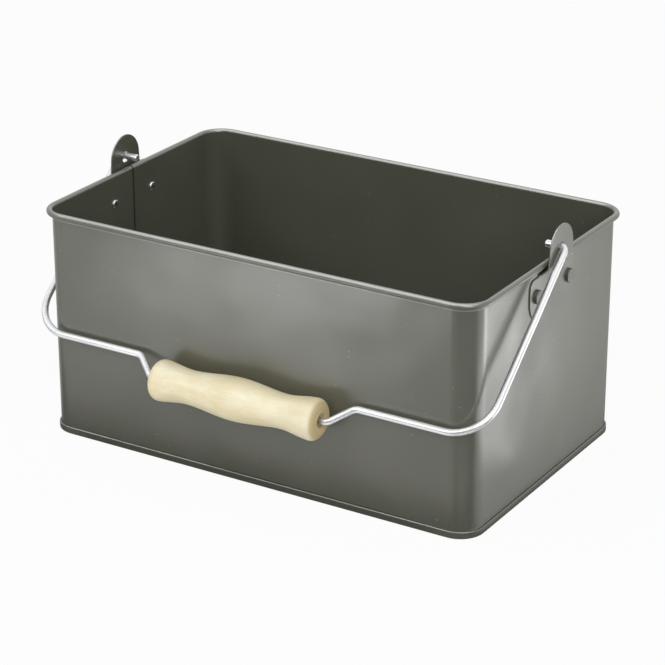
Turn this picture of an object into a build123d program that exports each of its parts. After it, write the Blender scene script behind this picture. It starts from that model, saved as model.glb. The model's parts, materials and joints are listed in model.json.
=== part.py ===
from build123d import *
from math import cos, radians, sin
import os

# Table caddy: an open box of thin painted sheet steel with a rolled rim and a folded base seam,
# two riveted ears on its end walls, a wire bail that swings in the ears and a turned wooden grip.
#
# Millimetres. X runs along the box, the front faces -Y and +Z is up. The origin is the middle of
# the base, on the surface that the caddy stands on.

# Box
box_length = 245.0  # over the outside of the end walls
box_width = 153.5  # over the outside of the front and back walls
box_height = 120.3  # from the table to the top of the rolled rim
corner_radius = 12.0  # outside of the upright corners
sheet = 0.3  # thickness of the wall and of the bottom
bead_diameter = 3.2  # rolled rim, over its outside
bead_turn = 300.0  # degrees that the rim is rolled through
lap_turn = 115.0  # degrees that the lapped end of the sheet follows the rolled rim
seam_hook = 2.5  # straight length of the hooked layers of the base seam
seam_gap = 0.03  # between those layers

# Ears
ear_sheet = 0.8  # thickness of the ears
ear_drop = 3.5  # from the underside of the rolled rim to the shoulders of the plate
ear_plate_width = 46.0  # plate that lies on the end wall
ear_plate_height = 25.8  # from its shoulders to its lowest point
ear_belly = 8.6  # rise of its curved lower edge towards the sides
ear_side_radius = 12.0  # from that edge into the sides
ear_shoulder_radius = 4.5
ear_neck_radius = 2.2  # inside corner between a shoulder and the tab
ear_tab_base = 27.6  # width of the tab where it leaves the shoulders
ear_tab_radius = 12.0  # round top of the tab
ear_hole_rise = 4.2  # from the top of the rim to the middle of the wire hole
ear_rim_gap = 1.2  # between the rolled rim and the tab
ear_bend_radius = 0.8  # inside of the two bends that step the tab out over the rim
ear_edge = 0.2  # softened edges of the sheet
shoulder_share = 0.55  # most of a shoulder's width that its outer rounding may take
neck_share = 0.35  # most of a shoulder's width that its inner rounding may take

# Rivets
rivet_inset = 6.5  # from the sides of the ear's plate
rivet_drop = 9.3  # from the shoulders of the ear's plate
rivet_shank = 3.2
rivet_clearance = 0.1  # round the shank
rivet_head = 7.0
rivet_head_height = 1.7
rivet_head_edge = 0.4
rivet_tail = 4.8  # clinched ring inside the box
rivet_tail_height = 0.9
rivet_tail_edge = 0.7
rivet_bore = 1.8  # hollow of the tail
rivet_bore_depth = 2.2
lap_gap = 2.1  # from the lapped end of the wall sheet to the back rivet's tail

# Bail
wire_diameter = 3.6
wire_edge = 0.4  # softened ends of the wire
hole_play = 2.2  # by which the ear's hole is wider than the wire
hole_gap = 0.35  # from the wire to the top of that hole
stub_inset = 3.2  # from the inside of the end walls to the ends of the wire
arm_gap = 0.5  # between the tab and the arm of the bail
elbow_radius = 3.4  # centre line, from the stub into the arm
bail_corner_radius = 20.0  # centre line, from the arm into the front run
jog_depth = 10.2  # from the front run out to the grip
jog_run = 11.0  # length of the slanting jog along the box
jog_radius = 6.0  # centre line of the jog's bends
bail_rest_angle = 40.7  # degrees below level, with the grip against the front wall
rest_gap = 0.4  # between the resting grip and the wall

# Grip
grip_length = 95.0
grip_end_diameter = 21.2
grip_neck_diameter = 17.3
grip_middle_diameter = 21.6
grip_neck_place = 29.5  # from the middle of the grip to its necks
grip_edge_radius = 4.0
grip_clearance = 1.7  # round the wire
grip_mouth = 0.4  # countersink of the bore
grip_play = 1.0  # from each end of the grip to the start of the wire's bend

# Folded base seam: three layers outside the wall. The wall's flange turns up inside the hook of
# the bottom's edge. u is measured outwards from the outside of the wall.
half_sheet = sheet / 2
layer = sheet + seam_gap
hook_inner_u = layer - half_sheet
flange_u = 2 * layer - half_sheet
hook_outer_u = 3 * layer - half_sheet
flange_bend = (flange_u + half_sheet) / 2
hook_bend = (hook_outer_u - hook_inner_u) / 2
fold_u = flange_u - flange_bend
fold_z = layer + flange_bend + half_sheet
hook_z = fold_z + seam_hook

# Rolled rim
bead_radius = bead_diameter / 2
bead_bend = bead_radius - half_sheet
bead_u = bead_bend - half_sheet
bead_z = box_height - bead_radius

# Ears, rivets and pivot
tab_step = bead_diameter - sheet + ear_rim_gap
shoulder_z = box_height - bead_diameter - ear_drop
plate_bottom_z = shoulder_z - ear_plate_height
plate_corner_z = plate_bottom_z + ear_belly
shoulder_width = (ear_plate_width - ear_tab_base) / 2
shoulder_rounding = min(ear_shoulder_radius, shoulder_share * shoulder_width)
neck_rounding = min(ear_neck_radius, neck_share * shoulder_width)
side_rounding = min(ear_side_radius, shoulder_z - shoulder_rounding - plate_corner_z)
hole_z = box_height + ear_hole_rise
tab_top_z = hole_z + ear_tab_radius
rivet_z = shoulder_z - rivet_drop
rivet_y = ear_plate_width / 2 - rivet_inset
rivet_places = [(-rivet_y, rivet_z), (rivet_y, rivet_z)]
lap_width = rivet_y - rivet_tail / 2 - lap_gap

# Bail, in its own plane: x along the box, and s from the pivot down to the front
wire_radius = wire_diameter / 2
pivot_z = hole_z + hole_play / 2 - hole_gap
stub_x = box_length / 2 - sheet - stub_inset
arm_x = box_length / 2 + tab_step + ear_sheet + arm_gap + wire_radius
grip_radius = max(grip_end_diameter, grip_middle_diameter) / 2
grip_y = -(box_width / 2 + rest_gap + grip_radius)
grip_s = -grip_y / cos(radians(bail_rest_angle))
grip_z = pivot_z - grip_s * sin(radians(bail_rest_angle))
run_s = grip_s - jog_depth
jog_slope = (jog_depth**2 + jog_run**2) ** 0.5
jog_tangent = jog_radius * jog_depth / (jog_slope + jog_run)
jog_inner_x = grip_length / 2 + grip_play + jog_tangent
jog_outer_x = jog_inner_x + jog_run
bail_plane = Plane(
    origin=(0, 0, pivot_z),
    x_dir=(1, 0, 0),
    z_dir=(0, sin(radians(bail_rest_angle)), -cos(radians(bail_rest_angle))),
)
grip_plane = Plane(origin=(0, grip_y, grip_z), x_dir=(1, 0, 0), z_dir=(0, -1, 0))
os.makedirs("parts", exist_ok=True)
print(f"pivot z {pivot_z:.3f}, grip axis y {grip_y:.3f} z {grip_z:.3f}")

# Outline of the box along the outside of the wall, and the plane of the wall's section there
with BuildLine() as box_outline:
    FilletPolyline(
        (box_length / 2, -box_width / 2),
        (box_length / 2, box_width / 2),
        (-box_length / 2, box_width / 2),
        (-box_length / 2, -box_width / 2),
        radius=corner_radius,
        close=True,
    )
outline = box_outline.wire()
section_plane = Plane(
    origin=outline @ 0,
    x_dir=(outline % 0).cross(Vector(0, 0, 1)),
    z_dir=-(outline % 0),
)
lap_plane = Plane(origin=(-box_length / 2, 0, 0), x_dir=(-1, 0, 0), z_dir=(0, 1, 0))

# Wall: one sheet wrapped round the box, with the flange of the base seam and the rolled rim. Its
# two ends lap at the middle of the left end, where the inner one also rolls over the rim.
with BuildPart() as wall_shell:
    with BuildSketch(section_plane):
        with BuildLine():
            Line((flange_u, hook_z), (flange_u, fold_z))
            CenterArc((fold_u, fold_z), flange_bend, 0, -180)
            Line((-half_sheet, fold_z), (-half_sheet, bead_z))
            CenterArc((bead_u, bead_z), bead_bend, 180, -bead_turn)
            offset(amount=half_sheet)
        make_face()
    sweep(path=outline)
    with BuildSketch(lap_plane):
        with BuildLine():
            Line((-half_sheet - sheet, fold_z), (-half_sheet - sheet, bead_z))
            CenterArc((bead_u, bead_z), bead_bend + sheet, 180, -lap_turn)
            offset(amount=half_sheet)
        make_face()
    extrude(amount=lap_width)
    with BuildSketch(Plane.YZ):
        with Locations(*rivet_places):
            Circle(rivet_shank / 2 + rivet_clearance)
    extrude(amount=box_length, both=True, mode=Mode.SUBTRACT)
wall_shell.part.label = "wall_shell"
export_step(wall_shell.part, "parts/wall_shell.step")

# Bottom: a flat plate whose edge is folded up and hooked over the wall's flange
with BuildPart() as bottom_panel:
    with BuildSketch():
        RectangleRounded(box_length + 2 * fold_u, box_width + 2 * fold_u, corner_radius + fold_u)
    extrude(amount=sheet)
    with BuildSketch(section_plane):
        with BuildLine():
            Line((0, half_sheet), (fold_u, half_sheet))
            CenterArc((fold_u, fold_z), hook_outer_u - fold_u, -90, 90)
            Line((hook_outer_u, fold_z), (hook_outer_u, hook_z))
            CenterArc((flange_u, hook_z), hook_bend, 0, 180)
            Line((hook_inner_u, hook_z), (hook_inner_u, fold_z))
            offset(amount=half_sheet)
        make_face()
    sweep(path=outline)
bottom_panel.part.label = "bottom_panel"
export_step(bottom_panel.part, "parts/bottom_panel.step")

# Ears and rivets, the same at both ends of the box
for end, side in (("left", -1), ("right", 1)):
    wall_middle = Vector(side * box_length / 2, 0, 0)
    wall_face = Plane(origin=wall_middle, x_dir=(0, side, 0), z_dir=(side, 0, 0))
    bend_plane = Plane(origin=wall_middle, x_dir=(side, 0, 0), z_dir=(0, -side, 0))

    # Ear: a strip stepped out over the rim, cut to the outline of its plate and tab
    with BuildPart() as ear:
        with BuildSketch(bend_plane):
            with BuildLine():
                FilletPolyline(
                    (ear_sheet / 2, plate_bottom_z - ear_sheet),
                    (ear_sheet / 2, shoulder_z),
                    (ear_sheet / 2 + tab_step, shoulder_z + tab_step),
                    (ear_sheet / 2 + tab_step, tab_top_z + ear_sheet),
                    radius=ear_bend_radius + ear_sheet / 2,
                )
                offset(amount=ear_sheet / 2)
            make_face()
        extrude(amount=ear_plate_width, both=True)
        with BuildSketch(wall_face) as ear_outline:
            with BuildLine():
                lower_edge = ThreePointArc(
                    (-ear_plate_width / 2, plate_corner_z),
                    (0, plate_bottom_z),
                    (ear_plate_width / 2, plate_corner_z),
                )
                Polyline(
                    lower_edge @ 1,
                    (ear_plate_width / 2, shoulder_z),
                    (-ear_plate_width / 2, shoulder_z),
                    lower_edge @ 0,
                )
            make_face()
            fillet(ear_outline.vertices().group_by(Axis.Y)[0], side_rounding)
            fillet(ear_outline.vertices().group_by(Axis.Y)[-1], shoulder_rounding)
            with BuildLine(mode=Mode.PRIVATE) as tab_lines:
                Line((-ear_tab_base / 2, rivet_z), (ear_tab_base / 2, rivet_z))
                CenterArc((0, hole_z), ear_tab_radius, 0, 360)
            make_hull(tab_lines.edges())
            shoulder_points = ear_outline.vertices().sort_by(lambda v: abs(v.Y - shoulder_z))[:4]
            fillet(shoulder_points.sort_by(lambda v: abs(v.X))[:2], neck_rounding)
            with Locations((0, hole_z)):
                Circle((wire_diameter + hole_play) / 2, mode=Mode.SUBTRACT)
            with Locations(*rivet_places):
                Circle(rivet_shank / 2 + rivet_clearance, mode=Mode.SUBTRACT)
        extrude(amount=tab_step + ear_sheet, mode=Mode.INTERSECT)
        fillet(ear.edges().group_by(Axis.Z)[0], ear_edge)
    ear.part.label = f"ear_{end}"
    export_step(ear.part, f"parts/ear_{end}.step")

    # Rivets: a flat head outside, and a hollow tail clinched inside the box
    for row, row_side in (("front", -1), ("back", 1)):
        rivet_middle = wall_middle + Vector(0, row_side * rivet_y, rivet_z)
        tail_end = -sheet - rivet_tail_height
        head_top = ear_sheet + rivet_head_height
        with BuildPart() as rivet:
            with BuildSketch(Plane(rivet_middle, x_dir=(side, 0, 0), z_dir=(0, -side, 0))) as turned:
                with BuildLine():
                    Polyline(
                        (tail_end, rivet_bore / 2),
                        (tail_end, rivet_tail / 2),
                        (-sheet, rivet_tail / 2),
                        (-sheet, rivet_shank / 2),
                        (ear_sheet, rivet_shank / 2),
                        (ear_sheet, rivet_head / 2),
                        (head_top, rivet_head / 2),
                        (head_top, 0),
                        (tail_end + rivet_bore_depth, 0),
                        (tail_end + rivet_bore_depth, rivet_bore / 2),
                        close=True,
                    )
                make_face()
                tail_corner = turned.vertices().group_by(Axis.X)[0].sort_by(Axis.Y)[-1]
                fillet(tail_corner, rivet_tail_edge)
                head_corner = turned.vertices().group_by(Axis.X)[-1].sort_by(Axis.Y)[-1]
                fillet(head_corner, rivet_head_edge)
            revolve(axis=Axis(rivet_middle, (side, 0, 0)))
        rivet.part.label = f"rivet_{end}_{row}"
        export_step(rivet.part, f"parts/rivet_{end}_{row}.step")

# Bail: one bent wire, from stub to stub
with BuildPart() as bail_wire:
    with BuildLine(bail_plane) as bail_route:
        FilletPolyline(
            (-stub_x, 0),
            (-arm_x, 0),
            (-arm_x, run_s),
            (-jog_outer_x, run_s),
            (-jog_inner_x, grip_s),
            (jog_inner_x, grip_s),
            (jog_outer_x, run_s),
            (arm_x, run_s),
            (arm_x, 0),
            (stub_x, 0),
            radius=[
                elbow_radius,
                bail_corner_radius,
                jog_radius,
                jog_radius,
                jog_radius,
                jog_radius,
                bail_corner_radius,
                elbow_radius,
            ],
        )
    with BuildSketch(Plane(bail_route.line @ 0, z_dir=bail_route.line % 0)):
        Circle(wire_radius)
    sweep()
    chamfer(bail_wire.faces().filter_by(Axis.X).edges(), wire_edge)
bail_wire.part.label = "bail_wire"
export_step(bail_wire.part, "parts/bail_wire.step")

# Grip: turned, with knobbed ends, two necks and a full middle, bored for the wire
with BuildPart() as wooden_grip:
    with BuildSketch(grip_plane):
        with BuildLine():
            turned_side = Spline(
                (-grip_length / 2, grip_end_diameter / 2),
                (-grip_neck_place, grip_neck_diameter / 2),
                (0, grip_middle_diameter / 2),
                (grip_neck_place, grip_neck_diameter / 2),
                (grip_length / 2, grip_end_diameter / 2),
                tangents=((1, 0), (1, 0)),
            )
            Polyline(
                turned_side @ 1,
                (grip_length / 2, wire_radius + grip_clearance),
                (-grip_length / 2, wire_radius + grip_clearance),
                turned_side @ 0,
            )
        make_face()
    revolve(axis=Axis(grip_plane.origin, grip_plane.x_dir))
    end_edges = wooden_grip.faces().filter_by(Axis.X).edges().sort_by(SortBy.RADIUS)
    chamfer(end_edges[:2], grip_mouth)
    outer_edges = wooden_grip.faces().filter_by(Axis.X).edges().sort_by(SortBy.RADIUS)[-2:]
    fillet(outer_edges, grip_edge_radius)
wooden_grip.part.label = "wooden_grip"
export_step(wooden_grip.part, "parts/wooden_grip.step")
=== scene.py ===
"""The looks of a table caddy: a painted sheet steel box with a zinc wire bail and a turned wooden grip."""

import json
from math import cos, pi, radians, sin, tan

import bmesh
import bpy
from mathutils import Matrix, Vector


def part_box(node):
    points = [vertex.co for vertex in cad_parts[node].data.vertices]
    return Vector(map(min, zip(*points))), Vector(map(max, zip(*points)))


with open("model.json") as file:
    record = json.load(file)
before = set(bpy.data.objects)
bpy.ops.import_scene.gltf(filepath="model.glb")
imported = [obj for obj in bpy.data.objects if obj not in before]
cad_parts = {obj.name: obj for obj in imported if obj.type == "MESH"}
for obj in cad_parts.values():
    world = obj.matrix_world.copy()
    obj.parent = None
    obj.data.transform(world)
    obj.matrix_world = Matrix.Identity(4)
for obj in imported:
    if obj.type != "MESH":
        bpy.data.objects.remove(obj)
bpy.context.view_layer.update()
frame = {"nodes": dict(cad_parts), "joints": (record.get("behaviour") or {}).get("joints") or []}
nodes = frame["nodes"]

MM = 0.001

# Camera, as the photograph was taken
view_azimuth = radians(31.48)
view_elevation = radians(22.87)
view_distance = 1.281
view_aim = Vector((0, 0, 0.05294))
view_lens = 136.26
view_sensor = 36.0

# Sizes of the sheet work, as the part has them
wall_corner = 12.0 * MM
rim_bead = 3.2 * MM
ear_sheet = 0.8 * MM

# Places on the caddy, read from the frame
joints = {joint["name"]: joint for joint in frame["joints"]}
pivot = Vector(joints["bail_swing"]["pos_m"])
grip_middle = Vector(joints["grip_spin"]["pos_m"])
grip_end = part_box("wooden_grip")[1].x
wall_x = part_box("ear_right")[0].x
tab_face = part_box("ear_right")[1].x
plate_face = wall_x + ear_sheet
front_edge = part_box("bottom_panel")[0].y
side_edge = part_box("bottom_panel")[1].x
wall_y = wall_x - side_edge - front_edge
seam_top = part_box("bottom_panel")[1].z
rim_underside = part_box("wall_shell")[1].z - rim_bead
low_crease = rim_underside - 3.6 * MM
high_crease = rim_underside + 0.4 * MM


def shown(red, green, blue):
    """A colour as a picture shows it, 0 to 255, in the linear values that a shader takes."""
    levels = [level / 255 for level in (red, green, blue)]
    linear = [
        level / 12.92 if level <= 0.04045 else ((level + 0.055) / 1.055) ** 2.4 for level in levels
    ]
    return (*linear, 1.0)


def grey(level):
    """A grey of this linear level, where 1 is white."""
    return (level, level, level, 1.0)


class Socket:
    """An output of a material's nodes. Arithmetic on it adds Math nodes."""

    def __init__(self, tree, output=None):
        self.tree = tree
        self.output = output

    def node(self, kind, settings=None, sockets=None, result=0):
        """Adds a node of this kind: its settings first, then the values or links of its sockets."""
        made = self.tree.nodes.new(kind)
        for name, value in (settings or {}).items():
            setattr(made, name, value)
        for name, value in (sockets or {}).items():
            if isinstance(value, Socket):
                self.tree.links.new(value.output, made.inputs[name])
            else:
                made.inputs[name].default_value = value
        return Socket(self.tree, made.outputs[result])

    def math(self, operation, *values):
        return self.node("ShaderNodeMath", {"operation": operation}, dict(enumerate(values)))

    def __add__(self, other):
        return self.math("ADD", self, other)

    def __radd__(self, other):
        return self.math("ADD", other, self)

    def __sub__(self, other):
        return self.math("SUBTRACT", self, other)

    def __rsub__(self, other):
        return self.math("SUBTRACT", other, self)

    def __mul__(self, other):
        return self.math("MULTIPLY", self, other)

    def __rmul__(self, other):
        return self.math("MULTIPLY", other, self)

    def __abs__(self):
        return self.math("ABSOLUTE", self)

    def ramp(self, low, high):
        """0 where this is below low and 1 where it is above high, with a soft step between."""
        settings = {"interpolation_type": "SMOOTHSTEP"}
        return self.node("ShaderNodeMapRange", settings, {"Value": self, "From Min": low, "From Max": high})

    def below(self, low, high):
        """1 where this is below low and 0 where it is above high, with a soft step between."""
        return 1 - self.ramp(low, high)

    def band(self, low, high, soft):
        """1 between low and high, fading to 0 within this soft width inside them."""
        return self.ramp(low, low + soft) * self.below(high - soft, high)

    def fade(self, colour, other):
        """The first colour where this is 0, and the other where it is 1."""
        return self.node("ShaderNodeMix", {"data_type": "RGBA"}, {0: self, 6: colour, 7: other}, result=2)


def new_material(name):
    """A material with one Principled shader: gives the material, its shader and a socket to start from."""
    material = bpy.data.materials.new(name)
    material.use_nodes = True
    shader = material.node_tree.nodes["Principled BSDF"]
    return material, shader, Socket(material.node_tree)


def feed(look, shader, **inputs):
    """Links or sets the shader's sockets, named with underscores for spaces."""
    for name, value in inputs.items():
        socket = shader.inputs[name.replace("_", " ")]
        if isinstance(value, Socket):
            look.tree.links.new(value.output, socket)
        else:
            socket.default_value = value


def object_place(look, middle=(0, 0, 0), turn=(0, 0, 0), stretch=(1, 1, 1)):
    """Object coordinates from a middle, for a pattern that is stretched along its own turned axes."""
    place = look.node("ShaderNodeTexCoord", result="Object")
    sockets = {"Vector": place, "Location": middle, "Rotation": turn, "Scale": stretch}
    return look.node("ShaderNodeMapping", {"vector_type": "TEXTURE"}, sockets)


def axis(look, name):
    """The object's own X, Y or Z."""
    return look.node("ShaderNodeSeparateXYZ", sockets={"Vector": object_place(look)}, result=name)


def noise(look, place, size, detail=2):
    """Soft noise, 0 to 1, with patches of about this size in metres."""
    return look.node("ShaderNodeTexNoise", sockets={"Vector": place, "Scale": 1 / size, "Detail": detail})


def flecks(look, place, cell, radius, share):
    """Round flecks: 1 within this radius of the middle of a share of the cells."""
    sockets = {"Vector": place, "Scale": 1 / cell}
    distance = look.node("ShaderNodeTexVoronoi", sockets=sockets)
    chance = look.node("ShaderNodeTexVoronoi", sockets=sockets, result="Color")
    picked = look.node("ShaderNodeSeparateColor", sockets={"Color": chance})
    near = distance.below(0.5 * radius / cell, radius / cell)
    return near * picked.ramp(1 - share, 1 - 0.9 * share)


def bumps(look, height, depth):
    """A Bump node for a height of which 1 stands for this depth in metres."""
    return look.node("ShaderNodeBump", sockets={"Height": height, "Distance": depth})


# Paint of the box, the ears and the rivets
paint_pale = shown(84, 85, 72)
paint_deep = shown(76, 77, 65)
paint_dust = shown(170, 170, 160)
# Pale paint for painted highlights on edges, creases and seams, and for wear
pale_for_highlight_and_wear = shown(168, 168, 160)
# Dark paint for painted shade
paint_shade = shown(38, 38, 30)
paint_roughness = 0.26
paint_ior = 2.0
bare_metal = shown(185, 185, 180)
bare_metal_roughness = 0.34
rivet_dullness = 0.18


def coat_of_paint(name, highlight_and_wear=None, shaded=None, bare=None, dull=0.0):
    """Satin stoved paint with a fine grain, on sheet that waves a little.

    The masks, where given, say where it takes painted highlights and pale wear, painted shade, or is gone to
    the metal.
    """
    material, shader, look = new_material(name)
    place = object_place(look)
    cloud = noise(look, place, size=60 * MM, detail=4)
    grain = noise(look, place, size=0.5 * MM, detail=1)
    peel = noise(look, place, size=1.6 * MM)
    waves = noise(look, place, size=50 * MM, detail=1)
    dust = flecks(look, place, cell=3.5 * MM, radius=0.42 * MM, share=0.08)
    tone = (0.6 * cloud + 0.4 * grain).ramp(0.25, 0.75)
    colour = tone.fade(paint_deep, paint_pale)
    colour = (0.6 * dust).fade(colour, paint_dust)
    # Painted highlights, and wear where the mask has it, in pale paint
    if highlight_and_wear:
        colour = highlight_and_wear(look).fade(colour, pale_for_highlight_and_wear)
    # Painted shade in dark paint
    if shaded:
        colour = shaded(look).fade(colour, paint_shade)
    rough = paint_roughness + dull + 0.05 * cloud + 0.05 * grain + 0.2 * dust
    metal = 0.0
    if bare:
        metal = bare(look)
        colour = metal.fade(colour, bare_metal)
        rough = rough + metal * (bare_metal_roughness - rough)
    height_mm = 0.008 * peel + 0.004 * grain + 2.2 * waves
    feed(
        look,
        shader,
        Base_Color=colour,
        Roughness=rough,
        Metallic=metal,
        IOR=paint_ior,
        Normal=bumps(look, height_mm, depth=MM),
    )
    return material


def painted_highlight_lines(look):
    """Painted highlight lines on the outside of the walls.

    They run close under the rolled rim, on top of the base seam at the front, and over it at the ends.
    """
    along = look.math("MAXIMUM", abs(axis(look, "X")) - (wall_x - wall_corner), 0)
    across = look.math("MAXIMUM", abs(axis(look, "Y")) - (wall_y - wall_corner), 0)
    from_inside = look.math("SQRT", along * along + across * across)
    outside = from_inside.ramp(wall_corner - 0.2 * MM, wall_corner - 0.1 * MM)
    height = axis(look, "Z")
    under_rim = height.band(rim_underside - 1.8 * MM, rim_underside - 0.8 * MM, soft=0.25 * MM)
    at_front = axis(look, "Y").below(-wall_y, 4 * MM - wall_y)
    on_seam = at_front * height.band(seam_top - 0.4 * MM, seam_top + 0.1 * MM, soft=0.1 * MM)
    at_ends = abs(axis(look, "X")).ramp(wall_x - 4 * MM, wall_x)
    over_seam = at_ends * height.band(seam_top, seam_top + 0.9 * MM, soft=0.2 * MM)
    return outside * (0.55 * under_rim + 0.08 * on_seam + 0.4 * over_seam)


def wall_shade(look):
    """Painted shade in dark places: the lapped sheet's edge on the left end, the base seam, and the gap over
    its front.
    """
    height = axis(look, "Z")
    at_left = axis(look, "X").below(3 * MM - wall_x, 4 * MM - wall_x)
    lap = at_left * abs(axis(look, "Y")).below(0.5 * MM, 0.9 * MM)
    clear_of_corners = abs(axis(look, "X")).below(90 * MM, wall_x - 8 * MM)
    forward = -wall_y - axis(look, "Y")
    front_gap = abs(forward).below(0.05 * MM, 0.1 * MM) * height.below(seam_top, seam_top + 0.6 * MM)
    front_seam = forward.ramp(0.5 * MM, 0.6 * MM)
    front_seam = front_seam * height.below(seam_top - 0.8 * MM, seam_top - 0.5 * MM)
    end_seam = (abs(axis(look, "X")) - wall_x).ramp(0.3 * MM, 0.5 * MM)
    end_seam = end_seam * height.below(seam_top, seam_top + 0.5 * MM)
    foot = clear_of_corners * (0.8 * front_gap + 0.4 * front_seam) + 0.3 * end_seam
    return look.math("MAXIMUM", 0.75 * lap, foot)


def ear_highlights_and_scuffs(look):
    """Painted highlights on the ears' edges and creases, and scuffs worn pale on the top of the left ear."""
    outward = abs(axis(look, "X"))
    height = axis(look, "Z")
    plate_edge, tab_edge = [
        outward.band(face - 0.22 * MM, face - 0.004 * MM, soft=0.02 * MM)
        for face in (plate_face, tab_face)
    ]
    low_line, high_line = [
        height.band(crease - 0.4 * MM, crease + 0.4 * MM, soft=0.25 * MM)
        for crease in (low_crease, high_crease)
    ]
    tall = object_place(look, stretch=(1, 1, 2))
    scuffs = noise(look, tall, size=1.1 * MM, detail=4).ramp(0.56, 0.7)
    at_top = height.ramp(pivot.z + 4 * MM, pivot.z + 7 * MM)
    at_left = axis(look, "X").below(-MM, MM)
    highlight_and_wear = 0.85 * plate_edge + 0.4 * tab_edge + 0.4 * low_line + 0.4 * high_line
    return look.math("MINIMUM", highlight_and_wear + 0.3 * scuffs * at_top * at_left, 0.85)


def rivet_shade(look):
    """The rivets' heads, which came out darker than the sheet."""
    return 0.75 * abs(axis(look, "X")).ramp(wall_x + 0.2 * MM, wall_x + 0.5 * MM)


def rivet_tails(look):
    """The inner side of the end walls, where the rivets' tails are bare."""
    return abs(axis(look, "X")).below(wall_x - 0.5 * MM, wall_x + 0.2 * MM)


zinc_dull = shown(206, 209, 210)
zinc_bright = shown(231, 233, 233)
zinc_streak = 50


def zinc_plate():
    """Bright zinc on drawn wire, with faint streaks along the arms and along the run at the front."""
    material, shader, look = new_material("zinc_plate")
    slope = (grip_middle - pivot).normalized()
    turn = Vector((0, 1, 0)).rotation_difference(-slope).to_euler()
    along_run = object_place(look, middle=pivot, turn=turn, stretch=(zinc_streak, 1, 1))
    along_arm = object_place(look, middle=pivot, turn=turn, stretch=(1, zinc_streak, 1))
    run_streaks = noise(look, along_run, size=0.9 * MM)
    arm_streaks = noise(look, along_arm, size=0.9 * MM)
    on_arm = abs(axis(look, "X")).ramp(wall_x - 14 * MM, wall_x + 2 * MM)
    streaks = run_streaks + on_arm * (arm_streaks - run_streaks)
    tone = streaks.ramp(0.3, 0.62)
    feed(
        look,
        shader,
        Base_Color=tone.fade(zinc_dull, zinc_bright),
        Roughness=0.4 - 0.06 * tone,
        Metallic=1.0,
        Normal=bumps(look, streaks, depth=0.004 * MM),
    )
    return material


wood_deep = shown(228, 213, 172)
wood_pale = shown(241, 234, 206)
wood_pore = shown(186, 152, 104)
wood_end = shown(206, 186, 140)


def turned_wood():
    """Pale close-grained wood along X: soft blotches, fine fibres, a few dark pores and darker end grain."""
    material, shader, look = new_material("turned_wood")
    blotch_place, pore_place, fibre_place = [
        object_place(look, middle=grip_middle, stretch=(length, 1, 1)) for length in (2.5, 5, 16)
    ]
    blotch = noise(look, blotch_place, size=7 * MM, detail=3)
    fibres = noise(look, fibre_place, size=0.7 * MM, detail=3)
    pores = flecks(look, pore_place, cell=1.6 * MM, radius=0.2 * MM, share=0.1)
    end_grain = abs(axis(look, "X")).ramp(grip_end - 2.2 * MM, grip_end - 0.4 * MM)
    tone = (0.7 * blotch + 0.3 * fibres).ramp(0.3, 0.7)
    colour = tone.fade(wood_deep, wood_pale)
    colour = (0.35 * pores).fade(colour, wood_pore)
    colour = end_grain.fade(colour, wood_end)
    feed(
        look,
        shader,
        Base_Color=colour,
        Roughness=0.55 + 0.1 * fibres,
        Normal=bumps(look, fibres - 0.8 * pores, depth=0.03 * MM),
    )
    return material


finishes = {
    "painted_steel": coat_of_paint("satin_paint", highlight_and_wear=painted_highlight_lines, shaded=wall_shade),
    "rivet": coat_of_paint("rivet_paint", shaded=rivet_shade, bare=rivet_tails, dull=rivet_dullness),
    "zinc_wire": zinc_plate(),
    "wood": turned_wood(),
}
for node in nodes.values():
    node.data.materials[0] = finishes[node.data.materials[0].name]
ear_paint = coat_of_paint("ear_paint", highlight_and_wear=ear_highlights_and_scuffs)
for name in ("ear_left", "ear_right"):
    nodes[name].data.materials[0] = ear_paint


# Stage: a pale floor that keeps the caddy's shadow, under a white sky
seen_floor_white = 0.94
sky_light = 0.48
floor_paper = grey(0.85)
floor_mirrored = grey(0.74)
floor_mirrored_painted_shade = grey(0.28)
floor_mirrored_painted_shadow = grey(0.08)
room_dark = grey(0.1)
white = grey(1.0)


def seen_rays(look):
    """1 for rays from the camera, mirrored or through glass, and 0 for those that only light things."""
    direct = look.node("ShaderNodeLightPath", result="Is Camera Ray")
    glossy = look.node("ShaderNodeLightPath", result="Is Glossy Ray")
    passed = look.node("ShaderNodeLightPath", result="Is Transmission Ray")
    return direct + glossy + passed


def flat_sheet(name, width, depth):
    """A flat sheet of this size, lying at the origin."""
    sheet = bmesh.new()
    bmesh.ops.create_grid(sheet, x_segments=1, y_segments=1, size=0.5)
    bmesh.ops.scale(sheet, verts=sheet.verts, vec=(width, depth, 1))
    made = bpy.data.objects.new(name, bpy.data.meshes.new(name))
    sheet.to_mesh(made.data)
    sheet.free()
    bpy.context.scene.collection.objects.link(made)
    return made


floor = flat_sheet("floor", width=6.0, depth=6.0)
floor.location.z = -0.2 * MM

# Painted shadow and shade in what mirrors see of the floor: its glow is darker close to the caddy, and
# towards the right of what the front wall mirrors
floor_material, floor_shader, floor_look = new_material("floor")
feed(floor_look, floor_shader, Base_Color=floor_paper, Roughness=1.0, Specular_IOR_Level=0.0)
across_floor = axis(floor_look, "X")
along_floor = axis(floor_look, "Y")
to_front = front_edge - along_floor
to_side = across_floor - side_edge
# Painted shadow close to the caddy's front and side
near_front = to_front.ramp(-20 * MM, 0) * to_front.below(5 * MM, 50 * MM)
near_side = 0.85 * to_side.ramp(-20 * MM, 0) * to_side.below(MM, 4 * MM)
mirrored_at = across_floor - tan(view_azimuth) * (along_floor + wall_y)
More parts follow.
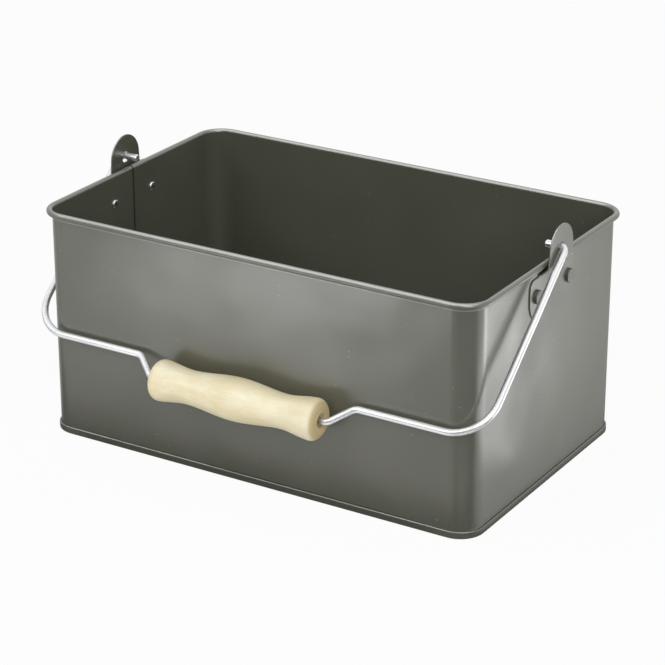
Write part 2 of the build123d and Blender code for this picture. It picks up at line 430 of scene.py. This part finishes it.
# Painted shade towards the right of what the front wall mirrors
dim = along_floor.below(-90 * MM, -50 * MM) * mirrored_at.ramp(30 * MM, 300 * MM)
mirrored = dim.fade(floor_mirrored, floor_mirrored_painted_shade)
mirrored = (near_front + near_side).fade(mirrored, floor_mirrored_painted_shadow)
glossy_rays = floor_look.node("ShaderNodeLightPath", result="Is Glossy Ray")
floor_glow = floor_look.node("ShaderNodeEmission", sockets={"Color": glossy_rays.fade(white, mirrored)})
floor_lit = Socket(floor_look.tree, floor_shader.outputs[0])
glow_share = seen_floor_white * seen_rays(floor_look)
floor_mix = floor_look.node("ShaderNodeMixShader", sockets={0: glow_share, 1: floor_lit, 2: floor_glow})
floor_surface = floor_look.tree.nodes["Material Output"].inputs["Surface"]
floor_look.tree.links.new(floor_mix.output, floor_surface)
floor.data.materials.append(floor_material)

# The dark room behind the camera, which only mirrors show, as a line along the wire
room = flat_sheet("room", width=5.0, depth=1.1)
room.location = (0, -2.4, 0.57)
room.rotation_euler = (pi / 2, 0, 0)
room_material, room_shader, room_look = new_material("room")
feed(room_look, room_shader, Base_Color=room_dark, Roughness=1.0, Specular_IOR_Level=0.0)
room.data.materials.append(room_material)
room.visible_camera = False
room.visible_diffuse = False
room.visible_shadow = False

world = bpy.data.worlds.new("studio")
bpy.context.scene.world = world
world.use_nodes = True
sky = world.node_tree.nodes["Background"]
sky.inputs["Color"].default_value = white
sky_strength = sky_light + (1 - sky_light) * seen_rays(Socket(world.node_tree))
world.node_tree.links.new(sky_strength.output, sky.inputs["Strength"])


def softbox(name, place, aim, size, radiance):
    """A soft lamp, turned from its place to what it aims at, as bright as radiance times white."""
    lamp = bpy.data.lights.new(name, "AREA")
    lamp.shape = "RECTANGLE"
    lamp.size, lamp.size_y = size
    lamp.energy = radiance * pi * lamp.size * lamp.size_y
    stand = bpy.data.objects.new(name, lamp)
    bpy.context.scene.collection.objects.link(stand)
    stand.location = place
    stand.rotation_euler = (Vector(place) - Vector(aim)).to_track_quat("Z", "Y").to_euler()
    stand.visible_camera = False
    return stand


def card(name, place, size, radiance, turn=0.0, rise=2 * MM):
    """A bright card that lies on the floor facing up, turned about Z."""
    x, y = place
    stand = softbox(name, (x, y, rise), (x, y, 1), size, radiance)
    stand.rotation_euler = (pi, 0, turn)
    return stand


softbox("key", place=(1.02, -1.02, 0.95), aim=(0, 0, 0.06), size=(0.9, 0.9), radiance=4.0)
softbox("fill", place=(-0.7, -1.2, 1.0), aim=(0, 0, 0.06), size=(0.9, 0.9), radiance=2.5)
card("front_card", place=(-0.135, -0.375), size=(0.17, 0.23), radiance=2.7)
card("side_card", place=(0.241, 0.017), size=(0.152, 0.1), radiance=1.6, turn=-view_azimuth)
card("far_card", place=(0.327, 0.2045), size=(0.096, 0.31), radiance=4.5, turn=-view_azimuth)

# These only show as gloss
back_light = softbox(
    "back_light", place=(-0.25, 1.2, 0.95), aim=(0, 0, 0.1), size=(2.2, 1.2), radiance=0.4
)
top_light = softbox(
    "top_light", place=(-0.25, -0.3, 1.4), aim=(-0.25, -0.3, 0), size=(2.0, 1.6), radiance=3.6
)
wire_card = card("wire_card", place=(0, -0.2), size=(0.5, 0.24), radiance=0.5, rise=MM)
for gloss in (back_light, top_light, wire_card):
    gloss.visible_diffuse = False

# The top light gives the rim its sheen and leaves out the wire, which has a card of its own
wire = bpy.data.collections.new("wire")
not_wire = bpy.data.collections.new("not_wire")
for name, node in nodes.items():
    group = wire if name == "bail_wire" else not_wire
    group.objects.link(node)
top_light.light_linking.receiver_collection = not_wire
wire_card.light_linking.receiver_collection = wire

# From the aim back to the camera
view_back = Vector(
    (
        sin(view_azimuth) * cos(view_elevation),
        -cos(view_azimuth) * cos(view_elevation),
        sin(view_elevation),
    )
)
camera = bpy.data.objects.new("camera", bpy.data.cameras.new("camera"))
bpy.context.scene.collection.objects.link(camera)
camera.location = view_aim + view_distance * view_back
camera.rotation_euler = view_back.to_track_quat("Z", "Y").to_euler()
camera.data.lens = view_lens
camera.data.sensor_width = view_sensor
bpy.context.scene.camera = camera
bpy.context.scene.view_settings.view_transform = "Standard"
